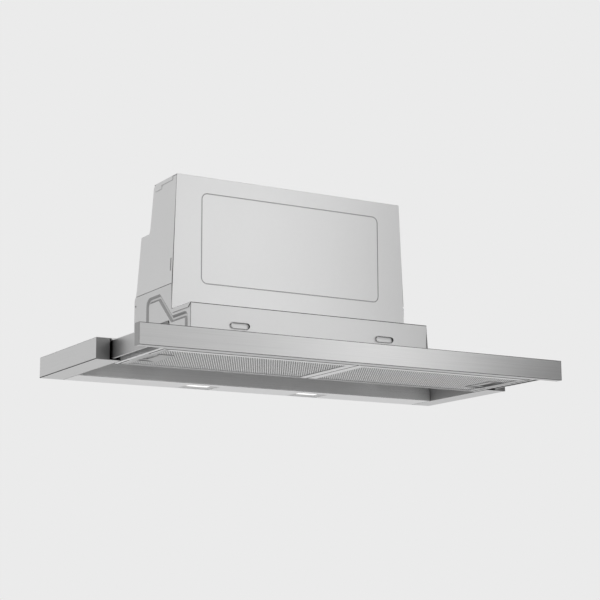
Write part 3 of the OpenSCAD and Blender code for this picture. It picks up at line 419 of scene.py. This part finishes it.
def pressCup(side, w):
    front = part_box("chamber_front")[0].y
    bm = bmesh.new()
    bmesh.ops.create_circle(bm, cap_ends=True, segments=w["segments"], radius=w["width"] / 2)
    bmesh.ops.rotate(bm, verts=bm.verts, matrix=Matrix.Rotation(math.pi / w["segments"], 3, "Z"))
    for vert in bm.verts:
        vert.co.x += math.copysign((w["length"] - w["width"]) / 2, vert.co.x)
    rim = bm.faces[:]
    made = bmesh.ops.extrude_face_region(bm, geom=rim, use_keep_orig=True)
    floor = [part for part in made["geom"] if isinstance(part, bmesh.types.BMVert)]
    bmesh.ops.translate(bm, verts=floor, vec=(0, 0, -w["depth"]))
    bmesh.ops.delete(bm, geom=rim, context="FACES_ONLY")
    turn = Matrix.Rotation(math.radians(90), 4, "X")
    place = Matrix.Translation((side * w["spacing"], front + w["behind"], w["height"]))
    bmesh.ops.transform(bm, verts=bm.verts, matrix=place @ turn)
    bm.normal_update()
    centre = place.translation
    for face in bm.faces:
        out = face.calc_center_median() - centre
        wall = len(face.verts) < w["segments"]
        shadowed = out.z > w["shadow"] or out.x > w["length"] / 2 - w["width"] / 2
        # painted shade on the walls above the middle and at the right end
        face.material_index = 1 if wall and shadowed else 0
    piece = linkMesh(w["names"][side], bm, [materials["slotLightZinc"], materials["foldShadeSteel"]])
    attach(piece, bodyOf["chamber_front"])


# where the sheets' faces with painted shade and painted light lie, in metres, and how far their normals reach
sheetPlaces = {
    "capFront": 0.0005,         # the caps' front lies this close to the foremost point
    "grooveDepth": 0.0003,      # the floor of the cover's groove lies deeper than this
    "bottomLap": 0.005,         # the chamber sides' lower fold
    "besideFilter": 0.004,
    "beforeFilter": 0.012,
    "behindFilter": 0.003,
    "outsideFilter": 0.006,     # the frame's walls beside the slides
    "filterRear": 0.001,
    "barUnderside": 0.0012,
    "pocketAlong": (0.004, 0.016),
    "pocketUp": (0.020, 0.055),
    "beadTurn": 0.97,           # the bead's faces reach less far along X than this
    # the frame's rear edge is painted light
    "rearTurn": 0.2,            # the bright rear edge reaches this far down
    "barTurn": (-0.98, -0.05),  # the bar's lower fold, between its underside and its front
}
filterLow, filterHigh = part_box("filter_left")
capLow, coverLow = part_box("end_cap_left")[0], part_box("motor_cover")[0]
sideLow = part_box("chamber_side_left")[0]


def onCapFront(place, way):
    return way.y < -facing and place.y < capLow.y + sheetPlaces["capFront"]


def inGroove(place, way):
    return way.y < -facing and place.y > coverLow.y + sheetPlaces["grooveDepth"]


def onBead(place, way):
    return abs(way.x) < sheetPlaces["beadTurn"] and sideLow.z + sheetPlaces["bottomLap"] < place.z


def aroundFilters(place, way):
    s = sheetPlaces
    inX = abs(place.x) < abs(filterLow.x) + s["besideFilter"]
    inY = filterLow.y - s["beforeFilter"] < place.y < filterHigh.y + s["behindFilter"]
    return abs(way.z) < halfTurned and inX and inY


def besideSlides(place, way):
    s = sheetPlaces
    outside = abs(way.x) > facing and abs(place.x) > abs(filterLow.x) + s["outsideFilter"]
    return outside or way.z < -s["rearTurn"] and place.y > filterHigh.y - s["filterRear"]


def onBarUnderside(place, way):
    down, level = sheetPlaces["barTurn"]
    return place.z < sheetPlaces["barUnderside"] and down < way.z < level and way.y < 0


def onPocket(place, side):
    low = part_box("motor_side_left" if side < 0 else "motor_side_right")[0]
    (near, far), (under, over) = sheetPlaces["pocketAlong"], sheetPlaces["pocketUp"]
    return low.y + near < place.y < low.y + far and low.z + under < place.z < low.z + over


coverSlope = 0.0303         # the cover's sides lean in by this share of its height

# sheet metal: a copy of each folded sheet with its folds and cut edges rounded
sheetWork = {
    "foldRadius": 0.0010,
    "foldRadii": {
        "filter_frame": 0.0018, "chamber_front": 0.0018, "end_cap_left": 0.0016, "end_cap_right": 0.0016,
    },
    "foldSegments": 3,
    # painted shadow lines along folds and edges: the way the face points, where its edge lies, the line's
    # width
    "shadowLines": {
        "chamber_front": [((0, -1, 0), (0, 0, 1), 0.0014)],
        "end_cap_left": [((-1, 0, 0), (0, 0, -1), 0.0016)],
        "end_cap_right": [((1, 0, 0), (0, 0, -1), 0.0016)],
        "motor_cover": [((0, -1, 0), (-1, 0, coverSlope), 0.0015),
                        ((0, -1, 0), (1, 0, coverSlope), 0.0009)],
    },
    "cutRadius": 0.00025,
    "cutRadii": {"motor_cover": 0.00045},
    "wideFace": 0.003,      # a face wider than this lies beside a fold
    "sharpAngle": 25,       # a fold bends more than this
    "rimAngle": 50,         # a cut edge bends more than this
    "smoothAngle": 35,
    "plainBend": 1,         # an edge of a broad face is smooth only below this bend
    "broadFace": 0.00004,   # the least area of a broad face
    "levelBend": 0.02,      # radians, between faces of one plane
    "thin": 0.0011,         # faces narrower than this are the sheets' cut edges
    # sheets whose cut edges are painted with shade
    "darkEdges": ("motor_cover", "motor_side_left", "motor_side_right", "chamber_front", "chamber_rear",
                  "chamber_side_left", "chamber_side_right", "motor_rear_left", "motor_rear_right"),
    "plainUprights": ("front_bar", "bar_end_left", "bar_end_right"),
    "pieces": {
        "end_cap_left": "capSheetLeft", "end_cap_right": "capSheetRight", "tray_deck": "deckSheet",
        "light_strip": "stripSheet", "chamber_front": "shelfSheet", "motor_cover": "coverSheet",
        "front_bar": "barSheet", "bar_end_left": "barEndLeft", "bar_end_right": "barEndRight",
        "filter_frame": "filterTrayFrame", "chamber_rear": "chamberRearSheet",
        "motor_side_left": "boxSideLeft", "motor_side_right": "boxSideRight",
        "motor_rear_left": "boxRearLeft", "motor_rear_right": "boxRearRight", "outlet_block": "boxRearMiddle",
        "chamber_side_left": "chamberSideLeft", "chamber_side_right": "chamberSideRight",
    },
    # faces painted darker, as painted shade, some as another metal, by their place and the way they face
    "shaded": {
        "end_cap_left": onCapFront,
        "end_cap_right": onCapFront,
        "motor_cover": inGroove,
        "chamber_side_left": onBead,
        "chamber_side_right": onBead,
        "light_strip": lambda place, way: way.y < -facing,
        "filter_frame": aroundFilters,
        "front_bar": onBarUnderside,
        "motor_side_left": lambda place, way: way.x < -facing and onPocket(place, -1),
        "motor_side_right": lambda place, way: way.x > facing and onPocket(place, 1),
    },
    # faces painted lighter, as painted light: the slots' lower and left rims, the frame's walls and rear edge
    "lit": {
        "chamber_front": lambda place, way: abs(way.y) < facing and litSlot(place, slotCup),
        "filter_frame": besideSlides,
    },
    # the finish of folds and cut edges (painted shade, but the frame keeps its own filterSteel), and of the
    # darker faces, where it isn't foldShadeSteel and shadedSteel
    "edge": {
        "chamber_front": "seamShade", "motor_cover": "seamShade", "front_bar": "seamShade",
        "motor_side_left": "seamShade", "motor_side_right": "seamShade",
        "chamber_side_left": "seamShade", "chamber_side_right": "seamShade",
        "end_cap_left": "seamShade", "end_cap_right": "seamShade", "filter_frame": "filterSteel",
    },
    "shade": {
        "light_strip": "innerShadedSteel", "motor_cover": "grooveShadeZinc", "front_bar": "foldShadeSteel",
        "chamber_side_left": "beadWallShade", "chamber_side_right": "beadWallShade",
        "motor_side_left": "pocketShadeZinc", "motor_side_right": "pocketShadeZinc",
    },
}
# each look's place among a sheet's materials: edge and shade hold painted shade, lit holds painted light
sheetPaint = {"plain": 0, "edge": 1, "shade": 2, "lit": 3}


def finishMesh(bm, name, node, material, angle, extra=()):
    bmesh.ops.recalc_face_normals(bm, faces=bm.faces)
    turn, plain = math.radians(angle), math.radians(sheetWork["plainBend"])
    for face in bm.faces:
        face.smooth = True
    for edge in bm.edges:
        if edge.is_manifold:
            bend = edge.calc_face_angle()
            broad = max(face.calc_area() for face in edge.link_faces) > sheetWork["broadFace"]
            edge.smooth = bend < turn and not (broad and bend > plain)
    piece = linkMesh(name, bm, (material, *extra))
    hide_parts(node)
    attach(piece, bodyOf[node])
    return piece


def mergedCopy(node):
    bm = bmesh.new()
    bm.from_mesh(nodes[node].data)
    bmesh.ops.remove_doubles(bm, verts=bm.verts, dist=merging)
    bmesh.ops.dissolve_limit(bm, angle_limit=math.radians(flatBend), verts=bm.verts, edges=bm.edges)
    return bm


def cutAt(bm, spot, normal, outside=False):
    everything = bm.verts[:] + bm.edges[:] + bm.faces[:]
    bmesh.ops.bisect_plane(bm, geom=everything, dist=cutting, plane_co=spot, plane_no=normal,
                           clear_outer=outside)


def faceWidth(face):
    return face.calc_area() / max(edge.calc_length() for edge in face.edges)


def isCutEdge(face, w):
    def level(edge):
        flat = edge.is_manifold and edge.calc_face_angle() < w["levelBend"]
        return flat and max(map(faceWidth, edge.link_faces)) > w["wideFace"]

    return faceWidth(face) < w["thin"] and not any(level(edge) for edge in face.edges)


# painted shade: fold and cut-edge faces take the edge finish, except the uprights of plainUprights
def darken(faces, node, w):
    for face in faces:
        longest = max(face.edges, key=lambda edge: edge.calc_length())
        way = longest.verts[1].co - longest.verts[0].co
        upright = abs(way.z) > abs(way.x) + abs(way.y) and node in w["plainUprights"]
        face.material_index = sheetPaint["plain" if upright else "edge"]


# paints a shadow line: faces within width of the sheet's furthest reach along side, pointing along way, take
# the edge shade
def drawShadowLine(bm, way, side, width):
    side = Vector(side).normalized()
    level = max(vert.co.dot(side) for vert in bm.verts) - width
    cutAt(bm, side * level, side)
    for face in bm.faces:
        if face.normal.dot(Vector(way)) > halfTurned and face.calc_center_median().dot(side) > level:
            face.material_index = sheetPaint["edge"]


def roundSheet(node, name, w):
    bm = mergedCopy(node)
    # painted shade on the cut edges of these sheets
    if node in w["darkEdges"]:
        for face in bm.faces:
            face.material_index = sheetPaint["edge" if isCutEdge(face, w) else "plain"]
    sharp = math.radians(w["sharpAngle"])
    corners = [e for e in bm.edges if e.is_manifold and e.calc_face_angle() > sharp]
    folds = [e for e in corners if min(faceWidth(f) for f in e.link_faces) > w["wideFace"] and e.is_convex]
    if folds:
        radius = w["foldRadii"].get(node, w["foldRadius"])
        made = bmesh.ops.bevel(bm, geom=folds, offset=radius, offset_type="OFFSET",
                               segments=w["foldSegments"], profile=0.5, affect="EDGES", clamp_overlap=True,
                               material=-1)
        darken(made["faces"], node, w)
    steep = math.radians(w["rimAngle"])
    rims = [e for e in bm.edges if e.is_manifold and e.is_convex and e.calc_face_angle() > steep]
    radius = w["cutRadii"].get(node, w["cutRadius"])
    made = bmesh.ops.bevel(bm, geom=rims, offset=radius, offset_type="OFFSET", segments=1, profile=0.5,
                           affect="EDGES", clamp_overlap=True, material=-1)
    darken(made["faces"], node, w)
    bmesh.ops.dissolve_degenerate(bm, edges=bm.edges, dist=merging)     # left by bevels that were held back
    bm.normal_update()
    for shadowLine in w["shadowLines"].get(node, ()):
        drawShadowLine(bm, *shadowLine)
    for look, tests in (("shade", w["shaded"]), ("lit", w["lit"])):
        if node in tests:
            for face in bm.faces:
                if tests[node](face.calc_center_median(), face.normal):
                    face.material_index = sheetPaint[look]
    others = (w["edge"].get(node, "foldShadeSteel"), w["shade"].get(node, "shadedSteel"), "paintedLightSteel")
    finishMesh(bm, name, node, finishFor(node), w["smoothAngle"], [materials[part] for part in others])


for node, name in sheetWork["pieces"].items():
    roundSheet(node, name, sheetWork)
print("sheets rounded")


# the notch that the grip leaves in the mesh
meshNotch = {
    "depth": 0.0375,        # from the catch to the foot of the grip's ramp
    "ends": 0.0015,
}


def gripNotch(node):
    side = -1 if "left" in node else 1
    low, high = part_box("catch_left" if side < 0 else "catch_right")
    inner = min(abs(low.x), abs(high.x)) - meshNotch["depth"]
    return lambda p: side * p.x > inner and low.y + meshNotch["ends"] < p.y < high.y - meshNotch["ends"]


# grease filters: expanded mesh in diamonds, with a denser pad behind it
meshWork = {
    "pitchX": 0.0046,
    "pitchY": 0.0083,
    "strand": 0.0014,
    "thick": 0.0003,
    "rise": 0.0004,         # height of the mesh above the CAD mesh's underside
    "padRise": 0.0030,
    "padCell": 0.004,
    "padThick": 0.0008,
    "padWaviness": 0.0006,
    "padWaves": (1900, 1700),       # radians a metre, along X and Y
    "smoothAngle": 180,
    "pieces": {"filter_left_mesh": "leftMesh", "filter_right_mesh": "rightMesh"},
}


def cropTo(bm, low, high):
    for axis in (0, 1):
        for limit, way in ((low, -1), (high, 1)):
            spot, normal = Vector((0, 0, 0)), Vector((0, 0, 0))
            spot[axis], normal[axis] = limit[axis], way
            cutAt(bm, spot, normal, outside=True)


def cutNotch(bm, node):
    notch = gripNotch(node)
    inside = [face for face in bm.faces if notch(face.calc_center_median())]
    bmesh.ops.delete(bm, geom=inside, context="FACES")


def thicken(piece, name, thickness, offset):
    wall = piece.modifiers.new(name, "SOLIDIFY")
    wall.thickness = thickness
    wall.offset = offset


def layMesh(node, name, w):
    low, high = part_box(node)
    middle = (low + high) / 2
    size = high - low
    count = int(size.x / w["pitchX"] + size.y / w["pitchY"]) + 2
    bm = bmesh.new()
    bmesh.ops.create_grid(bm, x_segments=count, y_segments=count, size=1)
    across, along = count * w["pitchX"] / 4, count * w["pitchY"] / 4
    shear = Matrix(((across, -across, 0, middle.x), (along, along, 0, middle.y),
                    (0, 0, 1, low.z + w["rise"]), (0, 0, 0, 1)))
    bmesh.ops.transform(bm, matrix=shear, verts=bm.verts)
    cropTo(bm, low, high)
    cutNotch(bm, node)
    cells = bm.faces[:]
    made = bmesh.ops.inset_individual(bm, faces=cells, thickness=w["strand"] / 2, use_even_offset=True)
    for face in made["faces"]:
        longest = max(face.edges, key=lambda edge: edge.calc_length())
        way = longest.verts[1].co - longest.verts[0].co
        # painted shade: strands that run the other way take the darker meshStrandShade
        face.material_index = 1 if way.x * way.y < 0 else 0      # strands that run the other way
    bmesh.ops.delete(bm, geom=cells, context="FACES")
    bmesh.ops.remove_doubles(bm, verts=bm.verts, dist=merging)
    strand, shadedStrand = materials["meshAluminium"], materials["meshStrandShade"]
    piece = finishMesh(bm, name, node, strand, w["smoothAngle"], (shadedStrand,))
    thicken(piece, "strandThickness", w["thick"], 0)
    layPad(node, name + "Pad", w)


def layPad(node, name, w):
    low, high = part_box(node)
    middle = (low + high) / 2
    size = high - low
    across, along = int(size.x / w["padCell"]), int(size.y / w["padCell"])
    waveX, waveY = w["padWaves"]
    bm = bmesh.new()
    bmesh.ops.create_grid(bm, x_segments=across, y_segments=along, size=0.5)
    bmesh.ops.scale(bm, vec=(size.x, size.y, 1), verts=bm.verts)
    bmesh.ops.translate(bm, vec=(middle.x, middle.y, low.z + w["padRise"]), verts=bm.verts)
    for vert in bm.verts:
        vert.co.z += w["padWaviness"] * math.sin(vert.co.x * waveX) * math.sin(vert.co.y * waveY)
    cutNotch(bm, node)
    piece = finishMesh(bm, name, node, materials["meshPad"], w["smoothAngle"])
    thicken(piece, "padThickness", w["padThick"], 1)


# filter trays: a wide fold all round their underside
trayWork = {
    "foldRadius": 0.0018,
    "segments": 3,
    "level": 0.0002,        # how close to the underside an edge lies
    "underside": 0.0005,    # how close to it a face of the border lies
    "wall": 0.004,          # a face wider than this is a wall and not an edge
    "rim": 0.0012,          # how close to the outline a dark rim face lies
    "bead": 0.0050,         # width of the bright bead along the outer end
    "border": 0.0140,       # width of the border at the outer end
    "rear": 0.0045,         # width of the bright edge along the rear
    # how far along Z a normal reaches: on walls, the rear edge painted light, the end and the rim painted
    # shade
    "wallTurn": 0.1,
    "rearTurn": 0.2,
    "endTurn": 0.99,
    "rimTurn": 0.8,
    "pieces": {"filter_left": "leftFilterTray", "filter_right": "rightFilterTray"},
}
# each look's place among a tray's materials: rim and end hold painted shade, rear holds painted light
trayPaint = {"plain": 0, "rim": 1, "grip": 2, "end": 3, "rear": 4}


def foldTray(node, name, w):
    bm = mergedCopy(node)
    floor = min(vert.co.z for vert in bm.verts)
    x0, x1 = min(vert.co.x for vert in bm.verts), max(vert.co.x for vert in bm.verts)
    walls = [face for face in bm.faces if abs(face.normal.z) < w["wallTurn"] and faceWidth(face) > w["wall"]]
    y0 = min(face.calc_center_median().y for face in walls)
    y1 = max(face.calc_center_median().y for face in walls)

    def outer(edge):
        a, b = (vert.co for vert in edge.verts)
        if max(a.z, b.z) > floor + w["level"] or edge.calc_length() < w["foldRadius"] * 2:
            return False
        return any(abs(a[axis] - limit) < w["level"] and abs(b[axis] - limit) < w["level"]
                   for axis, limit in ((0, x0), (0, x1), (1, y0), (1, y1)))

    folds = [edge for edge in bm.edges if outer(edge)]
    bmesh.ops.bevel(bm, geom=folds, offset=w["foldRadius"], offset_type="OFFSET", segments=w["segments"],
                    profile=0.5, affect="EDGES", clamp_overlap=True, material=-1)
    outerX = x0 if abs(x0) > abs(x1) else x1
    inward = -math.copysign(1, outerX)
    for cut in (w["bead"], w["border"]):
        cutAt(bm, (outerX + inward * cut, 0, 0), (1, 0, 0))
    bm.normal_update()
    onGrip = gripNotch(node)
    for face in bm.faces:
        middle = face.calc_center_median()
        inset = abs(outerX) - abs(middle.x)
        up = face.normal.z
        onBorder = up < -facing and w["bead"] < inset < w["border"] and middle.z < floor + w["underside"]
        atEnd = abs(middle.x - outerX) < w["foldRadius"]
        atRim = min(abs(middle.x - x0), abs(middle.x - x1), abs(middle.y - y0)) < w["rim"]
        if onGrip(middle) or onBorder:
            look = "grip"
        elif up < -w["rearTurn"] and middle.y > y1 - w["rear"]:
            look = "rear"
        elif atEnd and up > -w["endTurn"]:
            look = "end"
        elif atRim and abs(up) < w["rimTurn"]:
            look = "rim"
        else:
            look = "plain"
        face.material_index = trayPaint[look]
    others = ("shadedSteel", "gripSteel", "seamShade", "paintedLightSteel")
    finishMesh(bm, name, node, finishFor(node), sheetWork["smoothAngle"],
               [materials[part] for part in others])


for node, name in trayWork["pieces"].items():
    foldTray(node, name, trayWork)
print("filter trays folded")

for node, name in meshWork["pieces"].items():
    layMesh(node, name, meshWork)
print("filter mesh laid")

for side in slotCup["names"]:
    pressCup(side, slotCup)
print("slot cups pressed")
